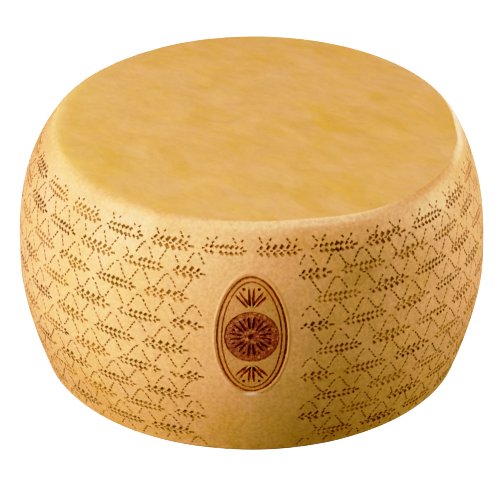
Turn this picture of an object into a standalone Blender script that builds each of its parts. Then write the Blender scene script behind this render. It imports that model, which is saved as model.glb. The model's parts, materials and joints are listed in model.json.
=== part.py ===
"""A whole, uncut wheel of aged hard cheese, with a seal pressed into the front of its rind.

Metres, +Z up. The origin is the centre of the flat bottom face that the wheel rests on, and the seal
faces -Y. The body is one turned solid: a slightly crowned top, a narrow shoulder around it, a heel
that bulges most a little below half height, and a rounded foot. The seal is a shallow
relief that keeps one depth all over, so it follows the bulge.
"""

import math

import bmesh
import bpy

# The wheel, measured on its outside.
WHEEL_DIAMETER = 0.430
WHEEL_HEIGHT = 0.235
BULGE_HEIGHT = 0.096  # where the heel is widest, above the bottom

# The top: a slight crown out to FACE_DIAMETER, then over a narrow shoulder down to the edge.
FACE_DIAMETER = 0.361
CROWN = 0.005
CROWN_POWER = 2.4
EDGE_DIAMETER = 0.374
SHOULDER_DROP = 0.0058
SHOULDER_POWER = 1.3

# The heel's curve above and below the bulge. A higher power keeps it upright for longer.
UPPER_HEEL_POWER = 2.88
LOWER_HEEL_POWER = 1.61

# The foot: a quarter round from the heel's lower end to the flat bottom.
FOOT_DIAMETER = 0.3886
FOOT_HEIGHT = 0.005
BOTTOM_DIAMETER = 0.376

# The seal: an upright oval with a round flower in the middle and a leaf spray above and below it.
SEAL_HEIGHT = 0.114
SEAL_WIDTH = 0.065
SEAL_CENTRE = 0.132  # above the bottom
SEAL_DEPTH = 0.0018
BORDER_WIDTH = 0.0045
FLOWER_RING_DIAMETER = 0.047
FLOWER_RING_WIDTH = 0.0025
PETALS = 8
PETAL_LENGTH = 0.0145
PETAL_WIDTH = 0.0085
FLOWER_EYE_DIAMETER = 0.009
LEAF_LENGTH = 0.017
LEAF_WIDTH = 0.0055
LEAF_SPREAD = math.radians(42)  # how far the outer leaves lean from the middle one

# How finely the round shapes are cut.
TURN_STEPS = 98
CROWN_STEPS = 5
SHOULDER_STEPS = 3
UPPER_HEEL_STEPS = 9
LOWER_HEEL_STEPS = 8
FOOT_STEPS = 3
OVAL_POINTS = 48
CIRCLE_POINTS = 32
EYE_POINTS = 12
LEAF_STEPS = 5

MERGE_DISTANCE = 0.00001
CUTTER_REACH = 0.03  # how far the seal's cutter runs in front of and behind the rind


def clear_scene():
    for old in list(bpy.data.objects):
        bpy.data.objects.remove(old)


def new_collection(name):
    collection = bpy.data.collections.new(name)
    bpy.context.scene.collection.children.link(collection)
    return collection


def new_material(name, colour, roughness):
    material = bpy.data.materials.new(name)
    material.use_nodes = True
    material.diffuse_color = (*colour, 1.0)
    shader = material.node_tree.nodes["Principled BSDF"]
    shader.inputs["Base Color"].default_value = (*colour, 1.0)
    shader.inputs["Roughness"].default_value = roughness
    shader.inputs["Metallic"].default_value = 0.0
    return material


# --- The turned body -----------------------------------------------------------------------------


def steps(count):
    """Even steps from just above 0 up to 1."""
    return [(step + 1) / count for step in range(count)]


def heel_radius(height):
    """The outside radius of the heel at a height between the foot and the top edge."""
    full = WHEEL_DIAMETER / 2
    if height >= BULGE_HEIGHT:
        loss = full - EDGE_DIAMETER / 2
        span = WHEEL_HEIGHT - CROWN - SHOULDER_DROP - BULGE_HEIGHT
        power = UPPER_HEEL_POWER
    else:
        loss = full - FOOT_DIAMETER / 2
        span = BULGE_HEIGHT - FOOT_HEIGHT
        power = LOWER_HEEL_POWER
    return full - loss * (abs(height - BULGE_HEIGHT) / span) ** power


def wheel_profile():
    """The wheel's outline as (radius, height), from the middle of the top down to that of the bottom."""
    face = FACE_DIAMETER / 2
    edge = EDGE_DIAMETER / 2
    rim_height = WHEEL_HEIGHT - CROWN
    edge_height = rim_height - SHOULDER_DROP
    foot = FOOT_DIAMETER / 2
    bottom = BOTTOM_DIAMETER / 2
    points = [(0.0, WHEEL_HEIGHT)]
    for t in steps(CROWN_STEPS):
        points.append((face * t, WHEEL_HEIGHT - CROWN * t**CROWN_POWER))
    for t in steps(SHOULDER_STEPS):
        points.append((face + (edge - face) * t, rim_height - SHOULDER_DROP * t**SHOULDER_POWER))
    for t in steps(UPPER_HEEL_STEPS):
        height = edge_height + (BULGE_HEIGHT - edge_height) * t
        points.append((heel_radius(height), height))
    for t in steps(LOWER_HEEL_STEPS):
        height = BULGE_HEIGHT + (FOOT_HEIGHT - BULGE_HEIGHT) * t
        points.append((heel_radius(height), height))
    for t in steps(FOOT_STEPS):
        angle = t * math.pi / 2
        radius = bottom + (foot - bottom) * math.cos(angle)
        points.append((radius, FOOT_HEIGHT * (1 - math.sin(angle))))
    points.append((0.0, 0.0))
    return points


def turned(name, profile, collection):
    """A closed solid of revolution about Z. The profile runs down its outer side."""
    mesh = bpy.data.meshes.new(name)
    verts = [(radius, 0.0, height) for radius, height in profile]
    edges = [(at, at + 1) for at in range(len(profile) - 1)]
    mesh.from_pydata(verts, edges, [])
    solid = bpy.data.objects.new(name, mesh)
    collection.objects.link(solid)
    screw = solid.modifiers.new("Turn", "SCREW")
    screw.axis = "Z"
    screw.angle = math.tau
    screw.steps = TURN_STEPS
    screw.render_steps = TURN_STEPS
    screw.use_merge_vertices = True
    screw.merge_threshold = MERGE_DISTANCE
    screw.use_smooth_shade = True
    return solid


# --- The seal's outlines, drawn flat: x across, y up ----------------------------------------------


def oval(half_width, half_height, count):
    angles = [math.tau * at / count for at in range(count)]
    return [(half_width * math.cos(a), half_height * math.sin(a)) for a in angles]


def leaf(root, lean, length, width):
    """A leaf pointed at both ends. It grows from root, leaning from upright by an angle."""
    out = [(-math.sin(t * math.pi) * width / 2, t * length) for t in steps(LEAF_STEPS)]
    back = [(-x, y) for x, y in reversed(out[:-1])]
    turn_x, turn_y = math.sin(lean), math.cos(lean)
    return [
        (root[0] + x * turn_y + y * turn_x, root[1] - x * turn_x + y * turn_y)
        for x, y in [(0.0, 0.0), *out, *back]
    ]


def seal_outlines():
    """Closed outlines of what the seal presses in. An outline inside another is left standing."""
    outlines = []
    for inset in (0.0, BORDER_WIDTH):
        outlines.append(oval(SEAL_WIDTH / 2 - inset, SEAL_HEIGHT / 2 - inset, OVAL_POINTS))
    for inset in (0.0, FLOWER_RING_WIDTH):
        ring = FLOWER_RING_DIAMETER / 2 - inset
        outlines.append(oval(ring, ring, CIRCLE_POINTS))
    eye = FLOWER_EYE_DIAMETER / 2
    outlines.append(oval(eye, eye, EYE_POINTS))
    petal_root = FLOWER_RING_DIAMETER / 2 - FLOWER_RING_WIDTH - PETAL_LENGTH - 0.0005
    for at in range(PETALS):
        lean = math.tau * at / PETALS
        root = (petal_root * math.sin(lean), petal_root * math.cos(lean))
        outlines.append(leaf(root, lean, PETAL_LENGTH, PETAL_WIDTH))
    spray_root = FLOWER_RING_DIAMETER / 2 + 0.003
    for side in (1, -1):
        upright = 0.0 if side > 0 else math.pi
        for lean in (-LEAF_SPREAD, 0.0, LEAF_SPREAD):
            root = (0.0025 * side * math.sin(lean) * 2, side * spray_root)
            outlines.append(leaf(root, upright + lean, LEAF_LENGTH, LEAF_WIDTH))
    return outlines


def seal_blocks(name, collection):
    """The seal's outlines as solid blocks that run along Y through the front of the rind."""
    curve = bpy.data.curves.new(name, "CURVE")
    curve.dimensions = "2D"
    curve.fill_mode = "BOTH"
    curve.extrude = CUTTER_REACH
    for outline in seal_outlines():
        spline = curve.splines.new("POLY")
        spline.points.add(len(outline) - 1)
        for point, (x, y) in zip(spline.points, outline):
            point.co = (x, y, 0.0, 1.0)
        spline.use_cyclic_u = True
    drawing = bpy.data.objects.new(name + "_drawing", curve)
    collection.objects.link(drawing)
    drawing.location = (0.0, -WHEEL_DIAMETER / 2, SEAL_CENTRE)
    drawing.rotation_euler = (math.pi / 2, 0.0, 0.0)
    bpy.context.view_layer.update()
    evaluated = drawing.evaluated_get(bpy.context.evaluated_depsgraph_get())
    mesh = bpy.data.meshes.new_from_object(evaluated)
    blocks = bpy.data.objects.new(name, mesh)
    blocks.matrix_world = drawing.matrix_world.copy()
    collection.objects.link(blocks)
    bpy.data.objects.remove(drawing)
    shape = bmesh.new()
    shape.from_mesh(mesh)
    bmesh.ops.remove_doubles(shape, verts=shape.verts, dist=MERGE_DISTANCE)
    bmesh.ops.recalc_face_normals(shape, faces=shape.faces)
    shape.to_mesh(mesh)
    shape.free()
    return blocks


def cut(solid, cutter, name):
    boolean = solid.modifiers.new(name, "BOOLEAN")
    boolean.operation = "DIFFERENCE"
    boolean.solver = "EXACT"
    boolean.material_mode = "TRANSFER"
    boolean.object = cutter


def hide_helper(helper):
    helper.hide_render = True
    helper.display_type = "WIRE"


# --- The wheel ------------------------------------------------------------------------------------


def seal_core(collection):
    """The wheel's front, one seal depth inside its surface: what the seal doesn't reach."""
    profile = [(radius - SEAL_DEPTH, height) for radius, height in wheel_profile()[1:-1]]
    top, bottom = profile[0][1], profile[-1][1]
    return turned("seal_core", [(0.0, top), *profile, (0.0, bottom)], collection)


def build():
    clear_scene()
    wheel_parts = new_collection("hard_cheese_wheel")
    cutters = new_collection("cutters")
    rind = new_material("aged_rind", (0.76, 0.45, 0.15), 0.5)
    scorched = new_material("scorched_rind", (0.22, 0.06, 0.02), 0.6)

    wheel = turned("cheese_wheel", wheel_profile(), wheel_parts)
    wheel.data.materials.append(rind)

    blocks = seal_blocks("seal_blocks", cutters)
    blocks.data.materials.append(scorched)
    core = seal_core(cutters)
    core.data.materials.append(scorched)
    cut(blocks, core, "Keep the depth")
    cut(wheel, blocks, "Press the seal")
    for helper in (blocks, core):
        hide_helper(helper)


build()
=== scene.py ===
"""The finished looks of a whole wheel of aged hard cheese, with its pin marks and its burnt seal.

Metres, +Z up. The wheel stands on the origin and its seal faces -Y.
"""

import json
import math
import random

import bpy
import numpy as np
from mathutils import Matrix, Vector
from mathutils.bvhtree import BVHTree
from mathutils.kdtree import KDTree

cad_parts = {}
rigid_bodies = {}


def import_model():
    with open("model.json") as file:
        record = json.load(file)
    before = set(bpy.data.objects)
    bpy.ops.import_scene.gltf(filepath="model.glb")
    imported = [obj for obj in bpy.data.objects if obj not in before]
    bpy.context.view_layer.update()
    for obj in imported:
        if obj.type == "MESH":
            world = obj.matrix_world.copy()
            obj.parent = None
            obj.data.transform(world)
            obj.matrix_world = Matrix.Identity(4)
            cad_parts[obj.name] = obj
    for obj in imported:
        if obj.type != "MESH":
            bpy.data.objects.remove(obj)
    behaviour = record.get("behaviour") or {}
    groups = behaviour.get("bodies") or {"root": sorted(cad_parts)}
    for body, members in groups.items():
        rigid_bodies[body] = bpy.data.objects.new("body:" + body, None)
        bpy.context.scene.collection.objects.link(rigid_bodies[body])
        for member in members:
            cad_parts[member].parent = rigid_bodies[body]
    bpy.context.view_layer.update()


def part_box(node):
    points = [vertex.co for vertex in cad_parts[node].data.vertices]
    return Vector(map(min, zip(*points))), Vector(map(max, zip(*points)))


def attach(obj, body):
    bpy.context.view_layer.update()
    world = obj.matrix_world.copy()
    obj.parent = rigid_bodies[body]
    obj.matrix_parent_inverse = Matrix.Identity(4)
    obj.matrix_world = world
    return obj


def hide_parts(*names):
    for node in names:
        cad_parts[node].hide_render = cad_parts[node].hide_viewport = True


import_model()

# --- The wheel's body -------------------------------------------------------------------------------
# A drum of pressed and aged curd. Its moulds leave it nearly flat faces and a narrow shoulder around
# the top, and the heel has bulged under its own weight, so it is drawn up ring by ring from the flat
# bottom, pushed out of round as the real one is, and left slightly wavy.

MM = 0.001

_, high_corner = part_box("cheese_wheel")
WHEEL_RADIUS = high_corner.x
WHEEL_HEIGHT = high_corner.z
BULGE_HEIGHT = 96 * MM
FACE_RADIUS = 183 * MM
CROWN = 5 * MM
CROWN_POWER = 2.4
EDGE_RADIUS = 188.5 * MM
SHOULDER_DROP = 5.8 * MM
SHOULDER_POWER = 1.3
UPPER_HEEL_POWER = 2.88
LOWER_HEEL_POWER = 1.61
FOOT_RADIUS = 194.3 * MM
FOOT_HEIGHT = 5 * MM
BOTTOM_RADIUS = 188 * MM
RIM_HEIGHT = WHEEL_HEIGHT - CROWN
EDGE_HEIGHT = RIM_HEIGHT - SHOULDER_DROP

COLUMNS = 176
FOOT_RINGS = 4
LOWER_HEEL_RINGS = 13
UPPER_HEEL_RINGS = 17
SHOULDER_RINGS = 3
FACE_RINGS = [radius * MM for radius in (181.8, 177.5, 170, 158)]
TOP_SHIFT = 1.6 * MM  # the top sits off the wheel's axis, to the right
TOP_SHIFT_REACH = 50 * MM
RIM_BULGES = [  # angle from the front, half its spread, how far out and how far it reaches
    (math.radians(43), 0.2, 9 * MM, 80 * MM),
    (math.radians(73), 0.1, 4 * MM, 45 * MM),
]
SOFTENED_FROM = [-30 * MM, -50 * MM, -70 * MM, -90 * MM, -110 * MM, -130 * MM]
SOFT_SHOULDER_DEPTH = 8 * MM
WAVINESS = 0.8 * MM
WAVE_SIZE = 85 * MM


def heel_radius(height):
    """The heel's outside radius at a height between the foot and the top edge."""
    if height >= BULGE_HEIGHT:
        loss = WHEEL_RADIUS - EDGE_RADIUS
        span = EDGE_HEIGHT - BULGE_HEIGHT
        power = UPPER_HEEL_POWER
    else:
        loss = WHEEL_RADIUS - FOOT_RADIUS
        span = BULGE_HEIGHT - FOOT_HEIGHT
        power = LOWER_HEEL_POWER
    return WHEEL_RADIUS - loss * (abs(height - BULGE_HEIGHT) / span) ** power


def face_height(radius):
    """The height of the crowned top at a distance from the axis."""
    return WHEEL_HEIGHT - CROWN * (radius / FACE_RADIUS) ** CROWN_POWER


def steps_between(start, end, count):
    return [start + (end - start) * step / count for step in range(1, count + 1)]


rings = []
for step in range(FOOT_RINGS + 1):
    turn = math.pi / 2 * step / FOOT_RINGS
    swell = (FOOT_RADIUS - BOTTOM_RADIUS) * math.sin(turn)
    rings.append((BOTTOM_RADIUS + swell, FOOT_HEIGHT * (1 - math.cos(turn))))
for height in steps_between(FOOT_HEIGHT, BULGE_HEIGHT, LOWER_HEEL_RINGS):
    rings.append((heel_radius(height), height))
for height in steps_between(BULGE_HEIGHT, EDGE_HEIGHT, UPPER_HEEL_RINGS):
    rings.append((heel_radius(height), height))
for along in steps_between(1, 0, SHOULDER_RINGS):
    radius = FACE_RADIUS + (EDGE_RADIUS - FACE_RADIUS) * along
    rings.append((radius, RIM_HEIGHT - SHOULDER_DROP * along**SHOULDER_POWER))
for radius in FACE_RINGS:
    rings.append((radius, face_height(radius)))

bpy.ops.object.select_all(action="DESELECT")
bpy.ops.mesh.primitive_circle_add(vertices=COLUMNS, radius=rings[0][0], location=(0, 0, 0))
wheel = bpy.context.object
wheel.name = "cheese_rind"
bpy.ops.object.mode_set(mode="EDIT")
bpy.ops.mesh.select_all(action="SELECT")
for (radius, height), (next_radius, next_height) in zip(rings, rings[1:]):
    bpy.ops.mesh.extrude_region_move(
        TRANSFORM_OT_translate={"value": (0, 0, next_height - height)}
    )
    grow = next_radius / radius
    bpy.ops.transform.resize(value=(grow, grow, 1), center_override=(0, 0, 0))
bpy.ops.mesh.fill_grid(span=COLUMNS // 4)
bpy.ops.mesh.select_all(action="DESELECT")
bpy.ops.mesh.select_mode(type="EDGE")
bpy.ops.mesh.select_non_manifold()
bpy.ops.mesh.fill_grid(span=COLUMNS // 4)
bpy.ops.mesh.select_all(action="SELECT")
bpy.ops.mesh.normals_make_consistent(inside=False)
bpy.ops.mesh.select_mode(type="VERT")


def select_vertices(piece, wanted):
    """In edit mode, selects the vertices that the test says yes to, and no others."""
    bpy.ops.mesh.select_all(action="DESELECT")
    bpy.ops.object.mode_set(mode="OBJECT")
    for vertex in piece.data.vertices:
        vertex.select = wanted(vertex.co)
    bpy.ops.object.mode_set(mode="EDIT")


def around(point):
    """A point's angle around the wheel, from the front towards the right."""
    return math.atan2(point.x, -point.y)


def on_rim(point):
    return point.z > EDGE_HEIGHT - MM and point.xy.length > FACE_RADIUS - 2 * MM


def push(reach, offset):
    """Moves what is selected, and less and less of what lies within reach of it."""
    bpy.ops.transform.translate(
        value=offset,
        use_proportional_edit=True,
        proportional_edit_falloff="SMOOTH",
        proportional_size=reach,
    )


bpy.ops.object.mode_set(mode="OBJECT")
for vertex in wheel.data.vertices:
    from_axis = vertex.co.xy.length
    if vertex.co.z > RIM_HEIGHT and from_axis < FACE_RINGS[-1]:
        vertex.co.z = face_height(from_axis)
bpy.ops.object.mode_set(mode="EDIT")
select_vertices(wheel, lambda co: co.z > EDGE_HEIGHT - MM)
push(TOP_SHIFT_REACH, (TOP_SHIFT, 0, 0))
for angle, spread, bulge, reach in RIM_BULGES:
    select_vertices(wheel, lambda co: on_rim(co) and abs(around(co) - angle) < spread)
    push(reach, Vector((math.sin(angle), -math.cos(angle), 0)) * bulge)
# the shoulder softens step by step towards the left
soft_height = EDGE_HEIGHT - SOFT_SHOULDER_DEPTH
for softened_from in SOFTENED_FROM:
    select_vertices(wheel, lambda co: co.x < softened_from and co.z > soft_height)
    bpy.ops.mesh.vertices_smooth(factor=0.5, repeat=2)
bpy.ops.object.mode_set(mode="OBJECT")


def apply_modifier(piece, kind, **settings):
    modifier = piece.modifiers.new(kind.title(), kind)
    for name, value in settings.items():
        setattr(modifier, name, value)
    bpy.context.view_layer.objects.active = piece
    bpy.ops.object.modifier_apply(modifier=modifier.name)


waves = bpy.data.textures.new("rind_waves", "CLOUDS")
waves.noise_scale = WAVE_SIZE
waves.noise_depth = 2
apply_modifier(wheel, "DISPLACE", texture=waves, strength=WAVINESS, mid_level=1.0)
bpy.ops.object.mode_set(mode="EDIT")
select_vertices(wheel, lambda co: co.z < 2 * WAVINESS and co.xy.length < BOTTOM_RADIUS + MM)
bpy.ops.transform.resize(value=(1, 1, 0), center_override=(0, 0, 0))
bpy.ops.object.mode_set(mode="OBJECT")
bpy.ops.object.shade_smooth()

uncut = wheel.copy()
uncut.data = wheel.data.copy()
uncut.name = "uncut_rind"
bpy.context.collection.objects.link(uncut)

surface = BVHTree.FromObject(wheel, bpy.context.evaluated_depsgraph_get())


def heel_place(across, height):
    """The point on the heel at a distance around it from the front and at a height, and a frame
    there: right along the heel, up along it, and out of it."""
    angle = across / WHEEL_RADIUS
    out = Vector((math.sin(angle), -math.cos(angle), 0))
    point = surface.ray_cast(out * 2 * WHEEL_RADIUS + Vector((0, 0, height)), -out)[0]
    right = Vector((-out.y, out.x, 0))
    slope = (heel_radius(height + MM) - heel_radius(height - MM)) / (2 * MM)
    up = (Vector((0, 0, 1)) + out * slope).normalized()
    return point, Matrix((right, up, right.cross(up))).transposed()


# --- The burnt seal ---------------------------------------------------------------------------------
# A hot iron has pressed an upright oval into the heel: two rings around a sunk medallion with an
# eight-petalled flower, and a spray of three leaves above and below it. It is drawn flat at its real
# size, wrapped on the heel and cut out of it.

SEAL_HEIGHT = 114 * MM
SEAL_WIDTH = 65 * MM
SEAL_CENTRE = 132 * MM
OUTER_RING_WIDTH = 4.0 * MM
INNER_RING_WIDTH = 3.0 * MM
RING_GAP = 0.7 * MM
MEDALLION_RADIUS = 23.5 * MM
MEDALLION_DEPTH = 0.7 * MM
MEDALLION_RING_WIDTH = 3.6 * MM
PETALS = 8
PETAL_LENGTH = 13.0 * MM
PETAL_WIDTH = 3.0 * MM  # of each half, with a rib left standing between the two
PETAL_GAP = 1.0 * MM
PETAL_INSET = 0.6 * MM
PETAL_LEAN = math.radians(8)
PETAL_DEPTH = 1.5 * MM
EYE_RADIUS = 3 * MM
SEED_AT = 17.2 * MM
SEED_WIDTH = 2.4 * MM
SEED_LENGTH = 3.4 * MM
SPRAY_GAP = 3 * MM
LEAF_ROOT_MM = 2.5
LEAF_LENGTH = 17 * MM
LEAF_SPREAD = math.radians(42)
BLADE_WIDTH = 2.9 * MM  # of each half of a leaf
BLADE_DEPTH = 1.3 * MM
BLADE_GAP = 0.7 * MM
BLADE_LEAN = math.radians(4)
BERRY_RADIUS = 1.6 * MM
BERRY_AT = LEAF_LENGTH * 1.12
CUTTER_HEIGHT = 5 * MM

for name in ("aged_rind", "scorched_rind", "pin_mark"):
    wheel.data.materials.append(bpy.data.materials.new(name))
RIND, SCORCHED, PINNED = range(3)


def heel_wrap(piece):
    """Bends a flat shape, x across, y up and z out of the rind, on to the heel at the seal."""
    for vertex in piece.data.vertices:
        across, up, out = vertex.co
        point, axes = heel_place(across, SEAL_CENTRE + up)
        vertex.co = point + axes @ Vector((0, 0, out))


def cut_out(piece, cutter, cut_material):
    """Cuts a shape out of a piece. The cut's faces take one of the piece's materials."""
    cutter.data.materials.append(piece.data.materials[cut_material])
    apply_modifier(
        piece,
        "BOOLEAN",
        operation="DIFFERENCE",
        solver="MANIFOLD",
        material_mode="TRANSFER",
        object=cutter,
    )
    bpy.data.objects.remove(cutter)


def press_in(cutter):
    heel_wrap(cutter)
    cut_out(wheel, cutter, SCORCHED)


def ring_cutter(half_width, half_height, thickness):
    """A round rod bent to an oval, half of it below the rind."""
    bpy.ops.object.select_all(action="DESELECT")
    bpy.ops.curve.primitive_bezier_circle_add(radius=1, location=(0, 0, 0))
    rod = bpy.context.object
    rod.scale = (half_width, half_height, 1)
    bpy.ops.object.transform_apply(scale=True)
    rod.data.resolution_u = 20
    rod.data.bevel_depth = thickness / 2
    rod.data.bevel_resolution = 2
    bpy.ops.object.convert(target="MESH")
    return bpy.context.object


def repeated(name, shape, places):
    """One mesh that holds a copy of the shape at each place."""
    corners = np.array([(*vertex.co, 1) for vertex in shape.data.vertices])
    faces = [list(face.vertices) for face in shape.data.polygons]
    points = np.concatenate([corners @ np.array(place).T for place in places])[:, :3]
    all_faces = [
        [corner + at * len(corners) for corner in face]
        for at in range(len(places))
        for face in faces
    ]
    mesh = bpy.data.meshes.new(name)
    mesh.from_pydata(points.tolist(), [], all_faces)
    copies = bpy.data.objects.new(name, mesh)
    bpy.context.collection.objects.link(copies)
    bpy.data.objects.remove(shape)
    return copies


def dent(x, y, z, turn, width, length, depth):
    """Where a rounded dent goes on the flat seal: its middle, its turn from upright and its size."""
    size = Matrix.Diagonal((width / 2, length / 2, depth, 1))
    return Matrix.Translation((x, y, z)) @ Matrix.Rotation(-turn, 4, "Z") @ size


def dents_cutter(places):
    bpy.ops.object.select_all(action="DESELECT")
    bpy.ops.mesh.primitive_uv_sphere_add(segments=14, ring_count=10, radius=1)
    return repeated("dents", bpy.context.object, places)


bpy.ops.object.select_all(action="DESELECT")
bpy.ops.mesh.primitive_circle_add(vertices=64, radius=MEDALLION_RADIUS)
medallion = bpy.context.object
bpy.ops.object.mode_set(mode="EDIT")
bpy.ops.mesh.select_all(action="SELECT")
bpy.ops.mesh.fill_grid(span=16)
bpy.ops.mesh.select_all(action="SELECT")
bpy.ops.transform.translate(value=(0, 0, -MEDALLION_DEPTH))
bpy.ops.mesh.extrude_region_move(TRANSFORM_OT_translate={"value": (0, 0, CUTTER_HEIGHT)})
bpy.ops.mesh.select_all(action="SELECT")
bpy.ops.mesh.normals_make_consistent(inside=False)
bpy.ops.object.mode_set(mode="OBJECT")
press_in(medallion)

outer = OUTER_RING_WIDTH / 2
inner = outer + (OUTER_RING_WIDTH + INNER_RING_WIDTH) / 2 + RING_GAP
press_in(ring_cutter(SEAL_WIDTH / 2 - outer, SEAL_HEIGHT / 2 - outer, OUTER_RING_WIDTH))
press_in(ring_cutter(SEAL_WIDTH / 2 - inner, SEAL_HEIGHT / 2 - inner, INNER_RING_WIDTH))
press_in(ring_cutter(MEDALLION_RADIUS, MEDALLION_RADIUS, MEDALLION_RING_WIDTH))

petal_middle = MEDALLION_RADIUS - MEDALLION_RING_WIDTH - PETAL_INSET - PETAL_LENGTH / 2
flower = [dent(0, 0, -MEDALLION_DEPTH, 0, 2 * EYE_RADIUS, 2 * EYE_RADIUS, PETAL_DEPTH)]
for petal in range(PETALS):
    turn = math.tau * petal / PETALS
    along = Vector((math.sin(turn), math.cos(turn)))
    across = Vector((along.y, -along.x))
    for half in (-1, 1):
        x, y = along * petal_middle + across * half * (PETAL_WIDTH + PETAL_GAP) / 2
        lean = turn + half * PETAL_LEAN
        flower.append(dent(x, y, -MEDALLION_DEPTH, lean, PETAL_WIDTH, PETAL_LENGTH, PETAL_DEPTH))
    between = turn + math.pi / PETALS
    x, y = SEED_AT * math.sin(between), SEED_AT * math.cos(between)
    flower.append(dent(x, y, -MEDALLION_DEPTH, between, SEED_WIDTH, SEED_LENGTH, PETAL_DEPTH))
press_in(dents_cutter(flower))

sprays = []
for side in (0, math.pi):
    for lean in (-LEAF_SPREAD, 0, LEAF_SPREAD):
        turn = side + lean
        along = Vector((math.sin(turn), math.cos(turn)))
        across = Vector((along.y, -along.x))
        root = Vector((0, math.cos(side) * (MEDALLION_RADIUS + SPRAY_GAP))) + along * LEAF_ROOT_MM * MM
        middle = root + along * LEAF_LENGTH / 2
        for half in (-1, 1):
            blade = middle + across * half * (BLADE_WIDTH + BLADE_GAP) / 2
            blade_turn = turn + half * BLADE_LEAN
            sprays.append(dent(*blade, 0, blade_turn, BLADE_WIDTH, LEAF_LENGTH, BLADE_DEPTH))
    for lean in (-LEAF_SPREAD / 2, LEAF_SPREAD / 2):
        x = BERRY_AT * math.sin(side + lean)
        y = math.cos(side) * (MEDALLION_RADIUS + SPRAY_GAP + BERRY_AT * math.cos(lean))
        sprays.append(dent(x, y, 0, 0, 2 * BERRY_RADIUS, 2 * BERRY_RADIUS, BERRY_RADIUS))
press_in(dents_cutter(sprays))

# --- The pin marks ----------------------------------------------------------------------------------
# The mould's plastic band is studded with pins, which leave thousands of small tapered pits around the
# heel: rows of leafy sprigs with a dashed wave between each two. Dirt and age have browned the pits
# unevenly. One pin is modelled, copied to every place on the heel and cut out of the rind.

TILES = 26
TILE = math.tau * WHEEL_RADIUS / TILES
ROW_HEIGHTS = [height * MM for height in (208, 187, 164, 139, 114, 89, 65, 43, 20)]
BAND_TILT = math.tan(math.radians(0.58))
MARK_LOWEST = 7 * MM
MARK_HIGHEST = 218 * MM
PIN_PROUD = 0.6 * MM
PIN_TIP_SHARE = 0.45
PIN_GAP = 0.3 * MM
PIN_JITTER = 0.12 * MM
TURN_JITTER = 0.05
LENGTH_RANGE = (0.85, 1.08)
WIDTH_RANGE = (0.85, 1.1)
MISSING = 0.02
SHADE_JITTER = 0.06
SHADE_DRIFT = 0.20  # the pits are paler round to the right
DARKEST_SHADE = 0.14
FAR_LEFT_DARKENING = 0.24  # and darkest on the far left
CELL = 6 * MM

bpy.ops.object.select_all(action="DESELECT")
bpy.ops.mesh.primitive_cube_add(size=1)
pin = bpy.context.object
bpy.ops.object.mode_set(mode="EDIT")
select_vertices(pin, lambda co: co.z < 0)
bpy.ops.transform.resize(value=(PIN_TIP_SHARE, 0, 1), center_override=(0, 0, -0.5))
bpy.ops.mesh.select_all(action="SELECT")
bpy.ops.mesh.remove_doubles(threshold=0.01)
bpy.ops.mesh.normals_make_consistent(inside=False)
bpy.ops.object.mode_set(mode="OBJECT")

dice = random.Random(7)
pits = []
pits_by_cell = {}


def cell_of(point):
    return tuple(round(value / CELL) for value in point)


def is_clear(spots, radius):
    """Whether a pit with these spots along it keeps clear of all the pits so far."""
    for spot in spots:
        x, y, z = cell_of(spot)
        for dx in (-1, 0, 1):
            for dy in (-1, 0, 1):
                for dz in (-1, 0, 1):
                    for other, other_radius in pits_by_cell.get((x + dx, y + dy, z + dz), ()):
                        if (other - spot).length < radius + other_radius + PIN_GAP:
                            return False
    return True


def add_pit(across, height, turn, length, width, depth, shade):
    """A pit on the heel: its middle, its turn from level, its size at the surface and its shade."""
    tilt = BAND_TILT * WHEEL_RADIUS * math.sin(across / WHEEL_RADIUS)
    height += dice.gauss(0, PIN_JITTER) - tilt
    across += dice.gauss(0, PIN_JITTER)
    turn += dice.gauss(0, TURN_JITTER)
    length *= dice.uniform(*LENGTH_RANGE)
    width *= dice.uniform(*WIDTH_RANGE)
    missing = dice.random() < MISSING
    if missing or not MARK_LOWEST < height < MARK_HIGHEST:
        return
    to_right = math.sin(across / WHEEL_RADIUS)
    shade += SHADE_DRIFT * to_right + dice.gauss(0, SHADE_JITTER)
    shade = max(DARKEST_SHADE, shade) - FAR_LEFT_DARKENING * max(0, -to_right) ** 3
    point, axes = heel_place(across, height)
    along = axes @ Vector((math.cos(turn), math.sin(turn), 0)) * (length - width) / 2
    spots = (point - along, point, point + along)
    if not is_clear(spots, width / 2):
        return
    for spot in spots:
        pits_by_cell.setdefault(cell_of(spot), []).append((spot, width / 2))
    whole = PIN_PROUD + depth
    length *= 1 + (1 - PIN_TIP_SHARE) * PIN_PROUD / whole
    width *= whole / depth
    size = Matrix.Diagonal((length, width, whole, 1))
    lift = Matrix.Translation((0, 0, PIN_PROUD - whole / 2))
    spin = Matrix.Rotation(turn, 4, "Z")
    place = Matrix.Translation(point) @ axes.to_4x4() @ lift @ spin @ size
    pits.append((place, point, min(1, max(0, shade))))


PLAIN_BELOW = 206 * MM  # the top row runs on above the seal
SPRIG_CLEARANCE = 45 * MM  # from the seal's middle
SHORT_WITHIN = 60 * MM  # and the sprigs next to it are shorter and stand off a little
SHORTER_BY = 2
STAND_OFF = 6 * MM
END_SHORTENING = 0.25  # of the leaflets at a sprig's two ends
LEAFLET_FATNESS = 0.62
LEAFLET_DEPTH = 1.0 * MM
LEAFLET_GAP = 1.0 * MM
STEM_WIDTH = 1.7 * MM
STEM_DEPTH = 0.8 * MM
STEM_BACK = 0.9 * MM
ROOT_LENGTH = 3 * MM
TIP_WIDTH = 2.2 * MM
TIP_GAP = 0.5 * MM
# pairs of leaflets, their spacing, length and lean, and the length of the stem's pieces
BROAD_SPRIG = (6, 6.4 * MM, 5.5 * MM, math.radians(52), 2.9 * MM)
FINE_SPRIG = (8, 4.8 * MM, 4.7 * MM, math.radians(44), 0)
SPRIG_SHADES = (1.5, 1.9)  # the two powers of the beta distribution that they are drawn from
SPRIG_FADE = 0.3


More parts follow.
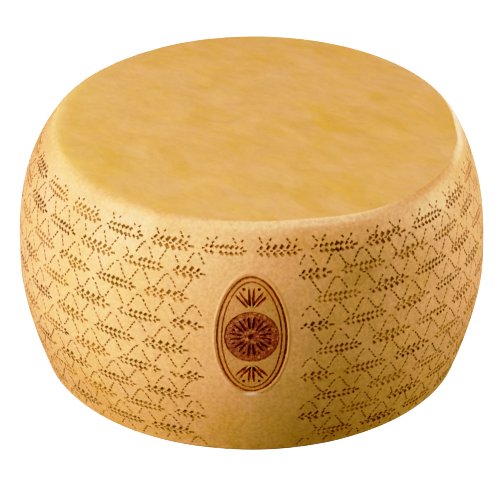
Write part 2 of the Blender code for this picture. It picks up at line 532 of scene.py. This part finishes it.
def beside_seal(across, height, reach):
    return abs(across) < reach and height < PLAIN_BELOW


def add_sprig(across, height, pairs, spacing, leaflet, lean, stem, shade, fade):
    """A stem with pairs of leaflets that lean towards its tip. A stem of 0 shows only at the root,
    and the shade fades along the sprig."""
    start = across - spacing * pairs / 2
    for pair in range(pairs):
        x = start + spacing * pair
        length = leaflet * (1 - END_SHORTENING * abs(2 * pair / (pairs - 1) - 1))
        faded = shade + fade * (pair / pairs - 0.5)
        for side in (1, -1):
            add_pit(
                x + length * math.cos(lean) / 2 + STEM_BACK,
                height + side * (length * math.sin(lean) / 2 + LEAFLET_GAP),
                side * lean,
                length,
                LEAFLET_FATNESS * length,
                LEAFLET_DEPTH,
                faded,
            )
        if stem or pair == 0:
            add_pit(x - STEM_BACK, height, 0, stem or ROOT_LENGTH, STEM_WIDTH, STEM_DEPTH, faded)
    tip = start + spacing * pairs + TIP_GAP
    add_pit(tip, height, 0, leaflet, TIP_WIDTH, LEAFLET_DEPTH, shade + fade / 2)


for row, height in enumerate(ROW_HEIGHTS):
    for tile in range(TILES):
        across = (tile - TILES / 2 + (0.5 if row % 2 == 0 else 0)) * TILE
        if beside_seal(across, height, SPRIG_CLEARANCE):
            continue
        pairs, *sizes = BROAD_SPRIG if (tile + row) % 2 else FINE_SPRIG
        if beside_seal(across, height, SHORT_WITHIN):
            pairs -= SHORTER_BY
            across += math.copysign(STAND_OFF, across)
        shade = dice.betavariate(*SPRIG_SHADES)
        fade = dice.gauss(0, SPRIG_FADE)
        add_sprig(across, height, pairs, *sizes, shade, fade)

WAVE_HEIGHT = 6.8 * MM
WAVE_LENGTH = TILE / 2
WAVE_CLEARANCES = (52 * MM, 44 * MM)
DASH = 3.0 * MM
DASH_PITCH = 3.7 * MM
DASH_WIDTH = 1.7 * MM
DASH_DEPTH = 0.8 * MM
FIRST_DASH = 0.4
DASH_DRIFT = 0.07
DARKEST_DASH = 0.05
PALEST_DASH = 0.65
row_step = (ROW_HEIGHTS[0] - ROW_HEIGHTS[-1]) / (len(ROW_HEIGHTS) - 1)
edges = [ROW_HEIGHTS[0] + row_step, *ROW_HEIGHTS, ROW_HEIGHTS[-1] - row_step]
for row, (above, below) in enumerate(zip(edges, edges[1:])):
    across = -math.pi * WHEEL_RADIUS
    shade = FIRST_DASH
    while across < math.pi * WHEEL_RADIUS:
        angle = math.tau * across / WAVE_LENGTH
        height = (above + below) / 2 + WAVE_HEIGHT * math.cos(angle)
        slope = -WAVE_HEIGHT * math.tau / WAVE_LENGTH * math.sin(angle)
        shade = min(PALEST_DASH, max(DARKEST_DASH, shade + dice.gauss(0, DASH_DRIFT)))
        if not beside_seal(across, height, WAVE_CLEARANCES[row % 2]):
            add_pit(across, height, math.atan(slope), DASH, DASH_WIDTH, DASH_DEPTH, shade)
        across += DASH_PITCH / math.hypot(1, slope)

cut_out(wheel, repeated("pins", pin, [place for place, _, _ in pits]), PINNED)
bpy.ops.object.select_all(action="DESELECT")
bpy.context.view_layer.objects.active = wheel
bpy.ops.object.mode_set(mode="EDIT")
bpy.ops.mesh.select_all(action="SELECT")
bpy.ops.mesh.dissolve_degenerate(threshold=0.001 * MM)
select_vertices(wheel, lambda co: co.z > RIM_HEIGHT)
bpy.ops.mesh.select_linked()
bpy.ops.mesh.select_all(action="INVERT")
bpy.ops.mesh.delete(type="VERT")
bpy.ops.object.mode_set(mode="OBJECT")

# --- The rind's finish ------------------------------------------------------------------------------
# The skin of the cheese, rubbed with oil as it ages: cream to golden, smeared on the flat faces and
# mottled round the heel, with fine grain and specks. The shoulder is painted pale in front and on the
# right, a painted highlight, with painted shade beside it on the right and a darker part on the far
# left. The seal's ground is toasted, inside a soft brown halo.


def new_group(name, outputs):
    """A shader node group with an output for each name and kind of socket."""
    tree = bpy.data.node_groups.new(name, "ShaderNodeTree")
    for output, kind in outputs.items():
        tree.interface.new_socket(output, in_out="OUTPUT", socket_type=kind)
    return tree


def add_node(tree, kind, inputs=(), **settings):
    """Adds a node. Its inputs, by name or number, are values or other nodes' outputs."""
    node = tree.nodes.new("ShaderNode" + kind)
    for name, value in settings.items():
        setattr(node, name, value)
    for socket, value in dict(inputs).items():
        if isinstance(value, bpy.types.NodeSocket):
            tree.links.new(value, node.inputs[socket])
        else:
            node.inputs[socket].default_value = value
    return node


def calculate(tree, operation, *values):
    return add_node(tree, "Math", dict(enumerate(values)), operation=operation).outputs[0]


def noise(tree, place, scale, detail=2, roughness=0.5, warp=0):
    inputs = {"Vector": place, "Scale": scale, "Detail": detail, "Roughness": roughness}
    return add_node(tree, "TexNoise", {**inputs, "Distortion": warp}).outputs["Fac"]


def drawn_out(tree, place, turn, length):
    """Coordinates that draw a pattern out along a direction on the flat faces."""
    inputs = {"Vector": place, "Rotation": (0, 0, turn), "Scale": (length, 1, 1)}
    return add_node(tree, "Mapping", inputs, vector_type="TEXTURE").outputs[0]


def fade_between(tree, value, start, end):
    """0 at start and 1 at end, with a smooth change between them."""
    inputs = {"Value": value, "From Min": start, "From Max": end}
    return add_node(tree, "MapRange", inputs, interpolation_type="SMOOTHSTEP").outputs["Result"]


def between(tree, value, one_edge, other_edge):
    """1 between two soft edges and 0 outside them. Each edge is where it is 0 and where it is 1."""
    one = fade_between(tree, value, *one_edge)
    other = fade_between(tree, value, *other_edge)
    return calculate(tree, "MULTIPLY", one, other)


def mix_colours(tree, share, first, second, blend="MIX"):
    """Sockets 6 and 7 of the node are its colours."""
    node = add_node(tree, "Mix", {0: share, 6: first, 7: second}, data_type="RGBA", blend_type=blend)
    return node.outputs[2]


CREAM = (0.745, 0.405, 0.215, 1)
GOLDEN = (0.695, 0.370, 0.105, 1)
FACE_TINT = (1.0, 1.06, 0.92, 1)
# pale wear for the specks, and the painted highlight on the shoulder
PALE_WEAR_AND_HIGHLIGHT = (0.87, 0.54, 0.33, 1)
OLIVE = (0.52, 0.26, 0.045, 1)
# painted shade on the right of the shoulder, and a darker part on the far left
DARKENED_GOLD = (0.61, 0.29, 0.085, 1)
SPECK_BROWN = (0.33, 0.16, 0.04, 1)
TOASTED = (0.50, 0.240, 0.085, 1)
SOOT = (0.20, 0.075, 0.02, 1)
HALO_BROWN = (0.50, 0.20, 0.045, 1)
# a painted highlight below the seal's lower tip
PAINTED_HIGHLIGHT = (0.92, 0.72, 0.50, 1)
LEFT_MARK_TINT = (0.92, 1.12, 0.85, 1)
LIGHT_BURN_TINT = (1.2, 1.05, 0.5, 1)
SMEAR_TURN = math.radians(-42)
STROKE_TURN = math.radians(-14)
# parts of the heel and its shoulder, by their two soft edges around the heel from the front
# where the shoulder's painted highlight lies
HIGHLIGHT_FRONT = ((-0.10, 0.03), (0.16, 0.08))
HIGHLIGHT_RIGHT = ((0.20, 0.30), (0.64, 0.45))
# where the painted shade on the right and the darker part on the far left lie
PAINTED_SHADE_RIGHT = ((0.12, 0.19), (0.29, 0.23))
DARKER_LEFT = ((-0.25, -0.31), (-0.64, -0.45))
TINTED_LEFT = ((0.0, -0.20), (-0.65, -0.50))
HIGHLIGHT_BELOW = 1.6 * MM
HIGHLIGHT_SIZE = (9 * MM, 2.6 * MM)
STAINS = [  # across, height, radius and strength of the oily stains on the heel
    (62, 208, 30, 0.5),
    (96, 176, 26, 0.35),
    (70, 70, 55, 0.42),
    (75, 120, 40, 0.22),
    (128, 52, 50, 0.33),
    (165, 130, 60, 0.32),
    (305, 207, 30, 0.45),
    (0, 30, 45, 0.3),
    (-166, 24, 40, 0.35),
    (-262, 176, 26, 0.3),
    (-170, 220, 60, 0.38),
    (-110, 222, 60, 0.5),
]

heel_tree = new_group("heel_position", {"Across": "NodeSocketFloat", "Height": "NodeSocketFloat"})
place = add_node(heel_tree, "TexCoord").outputs["Object"]
parts = add_node(heel_tree, "SeparateXYZ", {0: place}).outputs
angle = calculate(heel_tree, "ARCTAN2", parts["X"], calculate(heel_tree, "MULTIPLY", parts["Y"], -1))
across = calculate(heel_tree, "MULTIPLY", angle, WHEEL_RADIUS)
ends = heel_tree.nodes.new("NodeGroupOutput")
heel_tree.links.new(across, ends.inputs["Across"])
heel_tree.links.new(parts["Z"], ends.inputs["Height"])


def oval_distance(tree, heel, centre, half_width, half_height):
    """1 on an upright oval on the heel, less inside it and more outside."""
    x = calculate(tree, "DIVIDE", calculate(tree, "SUBTRACT", heel["Across"], centre[0]), half_width)
    y = calculate(tree, "DIVIDE", calculate(tree, "SUBTRACT", heel["Height"], centre[1]), half_height)
    squares = calculate(tree, "ADD", calculate(tree, "MULTIPLY", x, x), calculate(tree, "MULTIPLY", y, y))
    return calculate(tree, "SQRT", squares)


skin = new_group(
    "rind_skin",
    {"Colour": "NodeSocketColor", "Roughness": "NodeSocketFloat", "Height": "NodeSocketFloat"},
)
coordinates = add_node(skin, "TexCoord")
place = coordinates.outputs["Object"]
upward = add_node(skin, "SeparateXYZ", {0: coordinates.outputs["Normal"]}).outputs["Z"]
heel_group = skin.nodes.new("ShaderNodeGroup")
heel_group.node_tree = heel_tree
heel = heel_group.outputs

flat = fade_between(skin, calculate(skin, "ABSOLUTE", upward), 0.945, 0.992)
smeared = drawn_out(skin, place, SMEAR_TURN, 1.8)
smears = noise(skin, smeared, 34, 5, 0.65, 0.6)
strokes = noise(skin, drawn_out(skin, place, STROKE_TURN, 2.4), 120, 3, 0.6, 0.6)
clouds = noise(skin, place, 11, 2, 0.5, 0.3)
mottle = noise(skin, place, 24, 5, 0.62, 0.3)
on_face = calculate(skin, "MULTIPLY", smears, 0.60)
on_face = calculate(skin, "MULTIPLY_ADD", strokes, 0.10, on_face)
on_face = calculate(skin, "MULTIPLY_ADD", clouds, 0.30, on_face)
on_face = fade_between(skin, on_face, 0.34, 0.67)
on_heel = calculate(skin, "MULTIPLY_ADD", mottle, 0.9, -0.275)
patches = noise(skin, place, 95, 3, 0.6, 0.5)
on_heel = calculate(skin, "MULTIPLY_ADD", patches, 0.35, on_heel)
low = fade_between(skin, heel["Height"], 0.12, 0.01)
on_heel = calculate(skin, "MULTIPLY_ADD", low, 0.35, on_heel)
golden = add_node(skin, "Mix", {0: flat, 2: on_heel, 3: on_face}).outputs[0]
spots = fade_between(skin, noise(skin, smeared, 44, 3, 0.55, 0.8), 0.59, 0.74)
golden = calculate(skin, "MULTIPLY_ADD", calculate(skin, "MULTIPLY", spots, flat), 0.4, golden)
colour = mix_colours(skin, golden, CREAM, GOLDEN)
colour = mix_colours(skin, flat, colour, FACE_TINT, "MULTIPLY")

heel_only = calculate(skin, "SUBTRACT", 1, flat)
stain = 0
for across_mm, height_mm, radius_mm, strength in STAINS:
    reach = radius_mm * MM
    far = oval_distance(skin, heel, (across_mm * MM, height_mm * MM), reach, reach)
    one = calculate(skin, "MULTIPLY", fade_between(skin, far, 1.3, 0.2), strength)
    stain = calculate(skin, "MAXIMUM", stain, one)
patchy = fade_between(skin, noise(skin, place, 42, 3, 0.6), 0.32, 0.68)
stain = calculate(skin, "MULTIPLY", calculate(skin, "MULTIPLY", stain, patchy), heel_only)
colour = mix_colours(skin, stain, colour, OLIVE)
grimy = fade_between(skin, noise(skin, place, 75, 4, 0.7, 0.4), 0.45, 0.70)
grimy = calculate(skin, "MULTIPLY", grimy, fade_between(skin, heel["Height"], 0.045, 0.004))
grimy = calculate(skin, "MULTIPLY", grimy, heel_only)
colour = mix_colours(skin, calculate(skin, "MULTIPLY", grimy, 0.6), colour, OLIVE)

off_the_face = fade_between(skin, upward, 0.985, 0.94)
# A painted highlight: the shoulder is painted pale in front and on the right.
highlight_band = calculate(skin, "MULTIPLY", fade_between(skin, upward, 0.46, 0.62), off_the_face)
in_front = between(skin, heel["Across"], *HIGHLIGHT_FRONT)
on_right = between(skin, heel["Across"], *HIGHLIGHT_RIGHT)
on_right = calculate(skin, "MULTIPLY", on_right, 0.8)
highlight_share = calculate(skin, "MAXIMUM", in_front, on_right)
highlight_share = calculate(skin, "MULTIPLY_ADD", highlight_share, 0.72, 0.08)
colour = mix_colours(skin, calculate(skin, "MULTIPLY", highlight_band, highlight_share), colour, PALE_WEAR_AND_HIGHLIGHT)
# Painted shade on the shoulder right of the seal, and a darker part on the far left.
painted_shade_right = between(skin, heel["Across"], *PAINTED_SHADE_RIGHT)
darker_left = between(skin, heel["Across"], *DARKER_LEFT)
darker_left = calculate(skin, "MULTIPLY", darker_left, 0.7)
darkened = calculate(skin, "MAXIMUM", painted_shade_right, darker_left)
darkened = calculate(skin, "MULTIPLY", darkened, fade_between(skin, upward, 0.20, 0.50))
darkened = calculate(skin, "MULTIPLY", calculate(skin, "MULTIPLY", darkened, off_the_face), 0.75)
colour = mix_colours(skin, darkened, colour, DARKENED_GOLD)
pale_specks = fade_between(skin, noise(skin, place, 520, 1, 0.5), 0.70, 0.78)
colour = mix_colours(skin, calculate(skin, "MULTIPLY", pale_specks, 0.35), colour, PALE_WEAR_AND_HIGHLIGHT)
dark_specks = fade_between(skin, noise(skin, place, 310, 1, 0.5), 0.74, 0.80)
colour = mix_colours(skin, calculate(skin, "MULTIPLY", dark_specks, 0.38), colour, SPECK_BROWN)
fine = noise(skin, place, 800, 2, 0.6)
soft = noise(skin, place, 9, 2, 0.5)
middling = noise(skin, smeared, 110, 5, 0.6, 0.3)
grey = calculate(skin, "MULTIPLY_ADD", fine, 0.08, 0.875)
grey = calculate(skin, "MULTIPLY_ADD", soft, 0.07, grey)
grey = calculate(skin, "MULTIPLY_ADD", middling, 0.10, grey)
swirls = calculate(skin, "SUBTRACT", noise(skin, smeared, 55, 5, 0.75, 0.8), 0.5)
swirls = calculate(skin, "MULTIPLY", swirls, flat)
grey = calculate(skin, "MULTIPLY_ADD", swirls, 0.36, grey)
dimples = calculate(skin, "SUBTRACT", noise(skin, place, 300, 5, 0.75), 0.5)
dimples = calculate(skin, "MULTIPLY", dimples, heel_only)
grey = calculate(skin, "MULTIPLY_ADD", dimples, 0.95, grey)
grey_colour = add_node(skin, "CombineXYZ", {0: grey, 1: grey, 2: grey}).outputs[0]
colour = mix_colours(skin, 1.0, colour, grey_colour, "MULTIPLY")

seal_middle = (0, SEAL_CENTRE)
from_seal = oval_distance(skin, heel, seal_middle, SEAL_WIDTH / 2, SEAL_HEIGHT / 2)
halo = fade_between(skin, from_seal, 1.07, 0.99)
halo = calculate(skin, "MULTIPLY", halo, fade_between(skin, noise(skin, place, 60, 3), 0.25, 0.7))
colour = mix_colours(skin, calculate(skin, "MULTIPLY", halo, 0.5), colour, HALO_BROWN)
# A painted highlight: a pale spot just below the seal's lower tip, where the ring's edge catches the
# light.
highlight_middle = (0, SEAL_CENTRE - SEAL_HEIGHT / 2 - HIGHLIGHT_BELOW)
highlight_spot = fade_between(skin, oval_distance(skin, heel, highlight_middle, *HIGHLIGHT_SIZE), 1.15, 0.2)
colour = mix_colours(skin, calculate(skin, "MULTIPLY", highlight_spot, 0.8), colour, PAINTED_HIGHLIGHT)
toasted = calculate(
    skin,
    "MULTIPLY",
    fade_between(skin, from_seal, 1.0, 0.95),
    fade_between(skin, noise(skin, place, 300, 4, 0.7), 0.30, 0.62),
)
colour = mix_colours(skin, calculate(skin, "MULTIPLY", toasted, 0.75), colour, TOASTED)
soot = fade_between(skin, noise(skin, place, 520, 2, 0.6), 0.56, 0.72)
soot = calculate(skin, "MULTIPLY", soot, fade_between(skin, from_seal, 1.0, 0.9))
colour = mix_colours(skin, calculate(skin, "MULTIPLY", soot, 0.5), colour, SOOT)

grain = noise(skin, place, 620, 3, 0.6)
pocks = noise(skin, place, 130, 2, 0.5)
height = calculate(skin, "ADD", grain, calculate(skin, "MULTIPLY", pocks, 1.5))
lip = between(skin, from_seal, (1.08, 1.02), (0.98, 1.01))
height = calculate(skin, "MULTIPLY_ADD", lip, 3, height)
roughness = calculate(skin, "ADD", 0.40, calculate(skin, "MULTIPLY", noise(skin, place, 90, 3), 0.2))
ends = skin.nodes.new("NodeGroupOutput")
skin.links.new(colour, ends.inputs["Colour"])
skin.links.new(roughness, ends.inputs["Roughness"])
skin.links.new(height, ends.inputs["Height"])


def finish_material(material, grain_depth, tint=None, roughness=None):
    """Puts the rind's skin on a material. The tint is a function that makes its colour from the
    skin's colour."""
    material.use_nodes = True
    tree = material.node_tree
    group = tree.nodes.new("ShaderNodeGroup")
    group.node_tree = skin
    shader = tree.nodes["Principled BSDF"]
    colour = group.outputs["Colour"]
    if tint:
        colour = tint(tree, colour)
    tree.links.new(colour, shader.inputs["Base Color"])
    if roughness is None:
        tree.links.new(group.outputs["Roughness"], shader.inputs["Roughness"])
    else:
        shader.inputs["Roughness"].default_value = roughness
    bump = add_node(tree, "Bump", {"Height": group.outputs["Height"], "Distance": grain_depth})
    tree.links.new(bump.outputs["Normal"], shader.inputs["Normal"])


def ramp(tree, value, stops):
    """A colour that follows a value through stops of (value, colour)."""
    node = add_node(tree, "ValToRGB", {"Fac": value})
    elements = node.color_ramp.elements
    while len(elements) < len(stops):
        elements.new(0.5)
    for element, (position, stop_colour) in zip(elements, stops):
        element.position = position
        element.color = (*stop_colour, 1)
    return node.outputs["Color"]


def scorched_tint(tree, rind_colour):
    """Toasted at the lip of the burn, red-brown below it and nearly black at its deepest. It is
    lighter and more orange towards the seal's ends, where the iron pressed less."""
    depth = add_node(tree, "Attribute", attribute_name="press_depth").outputs["Fac"]
    depth = calculate(tree, "MULTIPLY", depth, 0.4)
    place = add_node(tree, "TexCoord").outputs["Object"]
    crusted = calculate(tree, "SUBTRACT", noise(tree, place, 420, 4, 0.8), 0.5)
    depth = calculate(tree, "MULTIPLY_ADD", crusted, 2.0, depth)
    stops = [
        (0.0, (0.58, 0.29, 0.13)),
        (0.16, (0.43, 0.155, 0.070)),
        (0.34, (0.29, 0.088, 0.050)),
        (0.58, (0.21, 0.066, 0.038)),
        (0.90, (0.165, 0.050, 0.032)),
    ]
    height = add_node(tree, "SeparateXYZ", {0: place}).outputs["Z"]
    from_middle = calculate(tree, "ABSOLUTE", calculate(tree, "SUBTRACT", height, SEAL_CENTRE))
    lightly = fade_between(tree, from_middle, 14 * MM, 40 * MM)
    return mix_colours(tree, lightly, ramp(tree, depth, stops), LIGHT_BURN_TINT, "MULTIPLY")


def pin_tint(tree, rind_colour):
    """From dark brown through brown to a faint gold, more olive on the left and paler at the lip."""
    shade = add_node(tree, "Attribute", attribute_name="mark_shade").outputs["Fac"]
    depth = add_node(tree, "Attribute", attribute_name="press_depth").outputs["Fac"]
    stops = [
        (0.0, (0.10, 0.044, 0.011)),
        (0.14, (0.262, 0.124, 0.030)),
        (0.40, (0.305, 0.131, 0.031)),
        (0.70, (0.40, 0.168, 0.038)),
        (1.0, (0.56, 0.270, 0.078)),
    ]
    heel_group = tree.nodes.new("ShaderNodeGroup")
    heel_group.node_tree = heel_tree
    on_left = between(tree, heel_group.outputs["Across"], *TINTED_LEFT)
    mark = mix_colours(tree, on_left, ramp(tree, shade, stops), LEFT_MARK_TINT, "MULTIPLY")
    share = fade_between(tree, depth, -0.55, 0.25)
    return mix_colours(tree, share, rind_colour, mark)


rind_material, scorched_material, pin_material = wheel.data.materials
finish_material(rind_material, 0.12 * MM)
finish_material(scorched_material, 0.5 * MM, scorched_tint, 0.42)
finish_material(pin_material, 0.05 * MM, pin_tint, 0.6)
pin_shader = pin_material.node_tree.nodes["Principled BSDF"]
pin_shader.inputs["Specular IOR Level"].default_value = 0.3

# --- The finished rind ------------------------------------------------------------------------------
# The cut wheel again: each point learns its depth below the skin and its pit, the skin keeps the
# shading of the uncut wheel so that the cuts don't dent it, and the surface is laid out flat in
# patches: the quarters of the heel, the two flat faces, the seal and the pits.

ALONG_THE_SKIN = 0.97  # a cut that lies nearly along the skin is shaded with it
FACING_UP = 0.7
# the flat patches, in millimetres on a square map
MAP_SIDE = 884
SEAL_CORNER = (686, 20)
SEAL_SIDE = 170
SHADE_PATCHES = 10
PATCH_COLUMN = (872, 20)
PATCH = 22
PATCH_FILL = 0.9
TOP_MIDDLE = (196, 660)
BOTTOM_MIDDLE = (590, 684)
QUARTER_CORNERS = ((2, 2), (343, 2), (2, 234), (343, 234))
HALF_QUARTER = 169

mesh = wheel.data
points = [vertex.co.copy() for vertex in mesh.vertices]
skin_tree = BVHTree.FromObject(uncut, bpy.context.evaluated_depsgraph_get())
pit_tree = KDTree(len(pits))
for number, (_, point, _) in enumerate(pits):
    pit_tree.insert(point, number)
pit_tree.balance()
cut_points = set()
for face in mesh.polygons:
    if face.material_index != RIND:
        cut_points.update(face.vertices)
depths = np.zeros(len(points), np.float32)
shades = np.zeros(len(points), np.float32)
nearest_pit = {}
for number in cut_points:
    depths[number] = skin_tree.find_nearest(points[number])[3] / MM
    nearest_pit[number] = pit_tree.find(points[number])[1]
    shades[number] = pits[nearest_pit[number]][2]
mesh.attributes.new("press_depth", "FLOAT", "POINT").data.foreach_set("value", depths)
mesh.attributes.new("mark_shade", "FLOAT", "POINT").data.foreach_set("value", shades)

apply_modifier(
    wheel,
    "DATA_TRANSFER",
    object=uncut,
    use_loop_data=True,
    data_types_loops={"CUSTOM_NORMAL"},
    loop_mapping="POLYINTERP_NEAREST",
)
mesh = wheel.data
normals = np.zeros(len(mesh.loops) * 3, np.float32)
mesh.corner_normals.foreach_get("vector", normals)
normals = normals.reshape(-1, 3)
for face in mesh.polygons:
    corners = slice(face.loop_start, face.loop_start + face.loop_total)
    if face.material_index == RIND:
        continue
    face.use_smooth = face.material_index == SCORCHED
    if face.use_smooth:
        skin_normal = Vector(normals[corners].mean(0))
        if face.normal.dot(skin_normal) > ALONG_THE_SKIN:
            continue
    normals[corners] = 0
mesh.set_sharp_from_angle(angle=math.radians(40))
mesh.normals_split_custom_set(normals.tolist())

while mesh.uv_layers:
    mesh.uv_layers.remove(mesh.uv_layers[0])
bpy.ops.object.select_all(action="DESELECT")
wheel.select_set(True)
bpy.context.view_layer.objects.active = wheel
mesh.uv_layers.new(name="OFBake")
for face in mesh.polygons:
    face.select = face.material_index == SCORCHED
bpy.ops.object.mode_set(mode="EDIT")
bpy.ops.mesh.select_mode(type="FACE")
bpy.ops.uv.smart_project(angle_limit=math.radians(66), island_margin=0.004)
bpy.ops.object.mode_set(mode="OBJECT")
mesh = wheel.data
flat_map = mesh.uv_layers["OFBake"]
spread = np.zeros(len(mesh.loops) * 2, np.float32)
flat_map.uv.foreach_get("vector", spread)
spread = spread.reshape(-1, 2)
loop_points = np.zeros(len(mesh.loops), np.int32)
mesh.loops.foreach_get("vertex_index", loop_points)
inverse_places = {}
for face in mesh.polygons:
    loops = range(face.loop_start, face.loop_start + face.loop_total)
    centre = face.center
    if face.material_index == SCORCHED:
        for loop in loops:
            spread[loop] = np.array(SEAL_CORNER) + SEAL_SIDE * spread[loop]
    elif face.material_index == PINNED:
        number = nearest_pit[face.vertices[0]]
        if number not in inverse_places:
            inverse_places[number] = pits[number][0].inverted()
        patch = min(SHADE_PATCHES - 1, int(pits[number][2] * SHADE_PATCHES))
        for loop in loops:
            x, y, z = inverse_places[number] @ points[loop_points[loop]]
            x = max(-0.5, min(0.5, x))
            y = max(-0.5, min(0.5, y))
            right = PATCH_COLUMN[0] + PATCH * PATCH_FILL * x
            spread[loop] = (right, PATCH_COLUMN[1] + PATCH * (patch + PATCH_FILL * y))
    elif abs(face.normal.z) > FACING_UP and (centre.z > EDGE_HEIGHT or centre.z < FOOT_HEIGHT):
        middle = TOP_MIDDLE if centre.z > EDGE_HEIGHT else BOTTOM_MIDDLE
        for loop in loops:
            spread[loop] = np.array(middle) + np.array(points[loop_points[loop]].xy) / MM
    else:
        quarter = int((around(centre) + math.pi) / (math.pi / 2)) % 4
        turn = -math.pi * 3 / 4 + quarter * math.pi / 2
        facing = Matrix.Rotation(-turn, 3, "Z")
        left, low = QUARTER_CORNERS[quarter]
        for loop in loops:
            point = facing @ points[loop_points[loop]]
            across = around(point) * WHEEL_RADIUS / MM
            spread[loop] = (left + HALF_QUARTER + across, low + point.z / MM)
spread /= MAP_SIDE
flat_map.uv.foreach_set("vector", spread.ravel())

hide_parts("cheese_wheel")
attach(wheel, "root")
bpy.data.objects.remove(uncut)

# --- Floor, light and camera ------------------------------------------------------------------------
# A plain white studio sweep with the wheel standing on it. Square soft lights stand around it: the
# strongest on the left, one low in front, and weaker ones on the right and behind.

STUDIO_WHITE = (1, 1, 0.985, 1)
STUDIO_GLOW = 2.45
ELEVATION = math.radians(29.6)
DISTANCE = 3.01
AIM = Vector((-1.5 * MM, 0, 97.8 * MM))
LIGHT_AIM = Vector((0, 0, 0.12))
LIGHT_DISTANCE = 2.5
LIGHT_SIZE = 1.0
TONE_END = (2.5, 1)
TONE_POINTS = [(0.07, 0.011), (0.175, 0.115), (0.36, 0.30), (0.8, 0.745), (1.4, 0.956)]

bpy.ops.object.select_all(action="DESELECT")
bpy.ops.mesh.primitive_plane_add(size=20)
floor = bpy.context.object
floor.name = "studio_floor"
white = bpy.data.materials.new("studio_white")
white.use_nodes = True
floor.data.materials.append(white)
lit = white.node_tree.nodes["Principled BSDF"]
lit.inputs["Base Color"].default_value = (0.12, 0.12, 0.12, 1)
glow = add_node(white.node_tree, "Emission", {"Color": STUDIO_WHITE, "Strength": STUDIO_GLOW})
seen = add_node(white.node_tree, "LightPath").outputs["Is Camera Ray"]
both = add_node(white.node_tree, "MixShader", {0: seen, 1: lit.outputs[0], 2: glow.outputs[0]})
ground = white.node_tree.nodes["Material Output"]
white.node_tree.links.new(both.outputs[0], ground.inputs["Surface"])

camera_data = bpy.data.cameras.new("camera")
camera = bpy.data.objects.new("camera", camera_data)
bpy.context.collection.objects.link(camera)
camera_data.lens = 233.3
camera_data.sensor_width = 36
camera.location = AIM + DISTANCE * Vector((0, -math.cos(ELEVATION), math.sin(ELEVATION)))
camera.rotation_euler = (math.pi / 2 - ELEVATION, 0, 0)
bpy.context.scene.camera = camera


def soft_light(name, azimuth, elevation, power, colour):
    """A square studio light aimed at the wheel. Azimuth 0 is in front, and grows to the right."""
    data = bpy.data.lights.new(name, "AREA")
    data.shape = "SQUARE"
    data.size = LIGHT_SIZE
    data.energy = power
    data.color = colour
    light = bpy.data.objects.new(name, data)
    bpy.context.collection.objects.link(light)
    az, el = math.radians(azimuth), math.radians(elevation)
    towards = Vector((math.sin(az) * math.cos(el), -math.cos(az) * math.cos(el), math.sin(el)))
    light.location = LIGHT_AIM + towards * LIGHT_DISTANCE
    light.rotation_euler = towards.to_track_quat("Z", "Y").to_euler()
    light.visible_camera = False


soft_light("key_light", -65, 20, 79, (0.93, 0.93, 1))
soft_light("front_light", -20, 20, 26.3, (0.96, 1, 0.78))
soft_light("left_light", -110, 6, 12, (0.86, 0.55, 1))
soft_light("right_light", 95, 6, 63, (0.98, 1, 0.88))
soft_light("high_right_light", 115, 62, 33, (0.98, 1, 0.89))
soft_light("back_right_light", 150, 6, 15, (0.84, 0.82, 1))
soft_light("back_left_light", -150, 20, 18.5, (1, 0.96, 0.55))
world = bpy.data.worlds.new("world")
bpy.context.scene.world = world
world.use_nodes = True
backdrop = world.node_tree.nodes["Background"]
backdrop.inputs["Color"].default_value = STUDIO_WHITE
backdrop.inputs["Strength"].default_value = STUDIO_GLOW
dim = add_node(world.node_tree, "Background", {"Color": (1, 1, 1, 1), "Strength": 0.0})
seen = add_node(world.node_tree, "LightPath").outputs["Is Camera Ray"]
both = add_node(world.node_tree, "MixShader", {0: seen, 1: dim.outputs[0], 2: backdrop.outputs[0]})
world.node_tree.links.new(both.outputs[0], world.node_tree.nodes["World Output"].inputs["Surface"])

view = bpy.context.scene.view_settings
view.view_transform = "Standard"
view.use_curve_mapping = True
tone = view.curve_mapping
tone.clip_max_x = TONE_END[0]
contrast = tone.curves[3]
contrast.points[-1].location = TONE_END
for light_in, light_out in TONE_POINTS:
    contrast.points.new(light_in, light_out)
tone.update()
